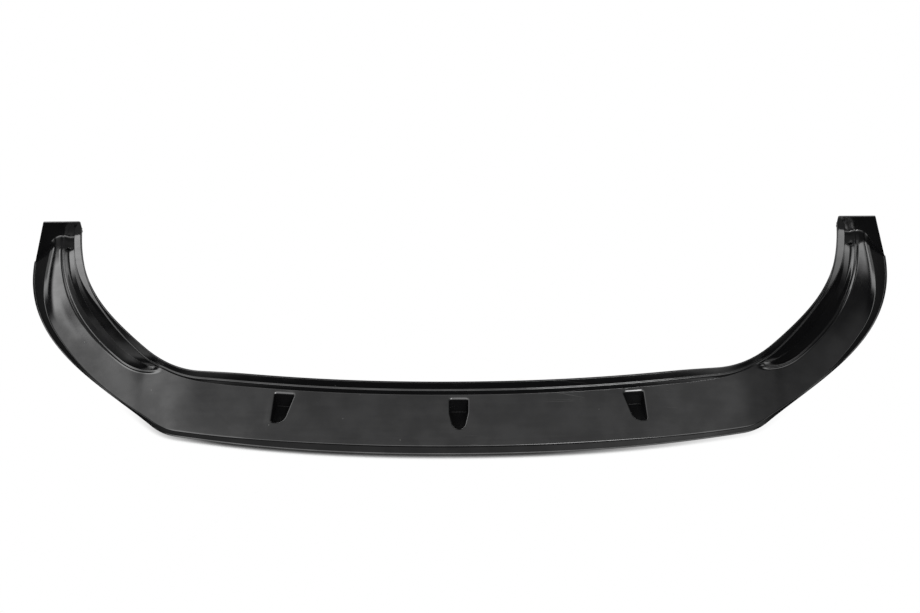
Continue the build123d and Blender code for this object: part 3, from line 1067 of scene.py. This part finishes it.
# Ceiling, softboxes and horizon: each fades over a stretch of the X, Y or Z of a direction
CEILING_RANGE = (0.3, 0.52)
CEILING_LIGHT = 1.07
WALL_LIGHT = 0.03
LEFT_RANGE = (-0.2, -0.55)
LEFT_GAIN = 2.3
RIGHT_RANGE = (0.3, 0.66)
RIGHT_GAIN = 0.5
BACK_RANGE = (-0.05, 0.32)
BACK_LIGHT = 0.07
LEFT_BOX_X = (-0.12, -0.3)
LEFT_BOX_Y = (0.05, 0.3)
LEFT_BOX_Z = (0.4, 0.58)
LEFT_BOX_TOP = (0.86, 0.76)
LEFT_BOX_LIGHT = 4.7
RIGHT_BOX_X = (0.05, 0.35)
RIGHT_BOX_Y = (0.45, 0.66)
RIGHT_BOX_Z = (0.22, 0.5)
RIGHT_BOX_LIGHT = 3.2
FRONT_BOX_Y = (-0.4, -0.65)
FRONT_BOX_Z = (0.2, 0.4)
FRONT_BOX_LIGHT = 2.5
HORIZON_LOW = (-0.06, 0.04)
HORIZON_HIGH = (0.22, 0.1)
HORIZON_BACK = (-0.5, -0.1)
HORIZON_LIGHT = 2.0

# Front lamp and camera
LAMP_SPOT = (0.85, -2.4, 1.9)
LAMP_TARGET = (0, -0.1, 0)
LAMP_SIZE = 0.9
LAMP_POWER = 46
CAMERA_LENS = 55.462
CAMERA_SPOT = (0.01826, -1.87926, 1.83354)
CAMERA_PITCH = 42.546
CAMERA_YAW = 0.476
CAMERA_ROLL = -0.716


def contact_shadow(tree, spot):
    """How light the floor is to the camera: dark only where the lip's front stands on it."""
    feeds = {"Distance": CONTACT_REACH}
    contact = place(tree, "ShaderNodeAmbientOcclusion", feeds, samples=CONTACT_SAMPLES)
    feeds = {0: contact.outputs["AO"], 1: CONTACT_RANGE[0], 2: CONTACT_RANGE[1]}
    open_share = number(tree, "POWER", place(tree, "ShaderNodeMapRange", feeds).outputs[0], CONTACT_POWER)
    cover = number(tree, "MULTIPLY", number(tree, "SUBTRACT", 1.0, open_share), 1 - CONTACT_DARKEST)
    from_left = smooth_range(tree, spot["X"], SHADOW_LEFT)
    from_right = smooth_range(tree, spot["X"], SHADOW_RIGHT)
    return number(tree, "SUBTRACT", 1.0, product(tree, cover, from_left, from_right))


def floor_cards(tree, spot):
    """Where the cards lie, and how light they are."""
    in_front = smooth_range(tree, spot["Y"], CARD_START)
    to_right = smooth_range(tree, spot["X"], CARD_RIGHT)
    front_tone = number(tree, "ADD", CARD_LIGHT, product(tree, to_right, CARD_RIGHT_LIGHT))
    near = smooth_range(tree, spot["Y"], CARD_FAR, CARD_FAR_LIGHT, 1.0)
    front_card = product(tree, front_tone, in_front, near)
    inward = smooth_range(tree, number(tree, "ABSOLUTE", spot["X"]), REAR_CARD_SIDES)
    between_arms = product(tree, smooth_range(tree, spot["Y"], REAR_CARD_START), inward)
    behind = number(tree, "MAXIMUM", between_arms, smooth_range(tree, spot["Y"], REAR_CARD_BEYOND))
    tone = number(tree, "ADD", front_card, product(tree, behind, REAR_CARD_LIGHT))
    return number(tree, "MAXIMUM", in_front, behind), tone


def floor_material():
    """White to the camera, with a contact shadow; to the plastic a dark floor with light cards on it."""
    material = bpy.data.materials.new("white_floor")
    material.use_nodes = True
    tree = material.node_tree
    tree.nodes.clear()
    where = tree.nodes.new("ShaderNodeTexCoord").outputs["Object"]
    spot = place(tree, "ShaderNodeSeparateXYZ", {0: where}).outputs
    on_card, card_tone = floor_cards(tree, spot)
    ray = tree.nodes.new("ShaderNodeLightPath").outputs
    to_camera = product(tree, ray["Is Camera Ray"], contact_shadow(tree, spot))
    to_plastic = product(tree, ray["Is Glossy Ray"], card_tone)
    white = place(tree, "ShaderNodeEmission", {"Color": number(tree, "ADD", to_camera, to_plastic)})
    dark = place(tree, "ShaderNodeBsdfDiffuse", {"Color": (FLOOR_TONE, FLOOR_TONE, FLOOR_TONE, 1)})
    card_seen = product(tree, ray["Is Glossy Ray"], on_card)
    seen_white = number(tree, "MAXIMUM", ray["Is Camera Ray"], card_seen)
    both = place(tree, "ShaderNodeMixShader", {0: seen_white, 1: dark.outputs[0], 2: white.outputs[0]})
    place(tree, "ShaderNodeOutputMaterial", {"Surface": both.outputs[0]})
    return material


def make_floor():
    mesh = bpy.data.meshes.new("floor")
    corners = [(x * FLOOR_HALF, y * FLOOR_HALF, 0) for x, y in ((-1, -1), (1, -1), (1, 1), (-1, 1))]
    mesh.from_pydata(corners, [], [(0, 1, 2, 3)])
    mesh.materials.append(floor_material())
    floor = bpy.data.objects.new("floor", mesh)
    bpy.context.scene.collection.objects.link(floor)


def make_world():
    """White to the camera; to the plastic a ceiling, three softboxes, dim walls and a light horizon."""
    world = bpy.data.worlds.new("white_studio")
    bpy.context.scene.world = world
    world.use_nodes = True
    tree = world.node_tree
    tree.nodes.clear()
    direction = tree.nodes.new("ShaderNodeTexCoord").outputs["Generated"]
    way = place(tree, "ShaderNodeSeparateXYZ", {0: direction}).outputs
    ceiling = product(
        tree,
        smooth_range(tree, way["Z"], CEILING_RANGE, WALL_LIGHT, CEILING_LIGHT),
        smooth_range(tree, way["X"], LEFT_RANGE, 1.0, LEFT_GAIN),
        smooth_range(tree, way["X"], RIGHT_RANGE, 1.0, RIGHT_GAIN),
        smooth_range(tree, way["Y"], BACK_RANGE, 1.0, BACK_LIGHT),
    )
    left_box = product(
        tree,
        smooth_range(tree, way["X"], LEFT_BOX_X),
        smooth_range(tree, way["Y"], LEFT_BOX_Y),
        smooth_range(tree, way["Z"], LEFT_BOX_TOP),
        smooth_range(tree, way["Z"], LEFT_BOX_Z, 0.0, LEFT_BOX_LIGHT),
    )
    right_box = product(
        tree,
        smooth_range(tree, way["X"], RIGHT_BOX_X),
        smooth_range(tree, way["Y"], RIGHT_BOX_Y),
        smooth_range(tree, way["Z"], RIGHT_BOX_Z, 0.0, RIGHT_BOX_LIGHT),
    )
    front_box = product(
        tree,
        smooth_range(tree, way["Y"], FRONT_BOX_Y),
        smooth_range(tree, way["Z"], FRONT_BOX_Z, 0.0, FRONT_BOX_LIGHT),
    )
    horizon = product(
        tree,
        smooth_range(tree, way["Z"], HORIZON_LOW),
        smooth_range(tree, way["Z"], HORIZON_HIGH),
        smooth_range(tree, way["Y"], HORIZON_BACK, 0.0, HORIZON_LIGHT),
    )
    light = ceiling
    for other in (left_box, right_box, front_box, horizon):
        light = number(tree, "ADD", light, other)
    studio = place(tree, "ShaderNodeBackground", {"Color": (1, 1, 1, 1), "Strength": light})
    white = place(tree, "ShaderNodeBackground", {"Color": (1, 1, 1, 1), "Strength": 1.0})
    ray = tree.nodes.new("ShaderNodeLightPath").outputs
    feeds = {0: ray["Is Camera Ray"], 1: studio.outputs[0], 2: white.outputs[0]}
    both = place(tree, "ShaderNodeMixShader", feeds)
    place(tree, "ShaderNodeOutputWorld", {"Surface": both.outputs[0]})


def make_lamp():
    data = bpy.data.lights.new("front_lamp", "AREA")
    data.size = LAMP_SIZE
    data.energy = LAMP_POWER
    lamp = bpy.data.objects.new("front_lamp", data)
    bpy.context.scene.collection.objects.link(lamp)
    lamp.location = LAMP_SPOT
    lamp.rotation_euler = (Vector(LAMP_TARGET) - Vector(LAMP_SPOT)).to_track_quat("-Z", "Y").to_euler()


def make_camera():
    data = bpy.data.cameras.new("camera")
    data.lens = CAMERA_LENS
    camera = bpy.data.objects.new("camera", data)
    bpy.context.scene.collection.objects.link(camera)
    yaw = Matrix.Rotation(radians(CAMERA_YAW), 4, "Z")
    pitch = Matrix.Rotation(radians(90 - CAMERA_PITCH), 4, "X")
    roll = Matrix.Rotation(radians(CAMERA_ROLL), 4, "Z")
    camera.matrix_world = Matrix.Translation(CAMERA_SPOT) @ yaw @ pitch @ roll
    bpy.context.scene.camera = camera


build_lip()
make_floor()
make_world()
make_lamp()
make_camera()
bpy.context.scene.view_settings.view_transform = "Standard"
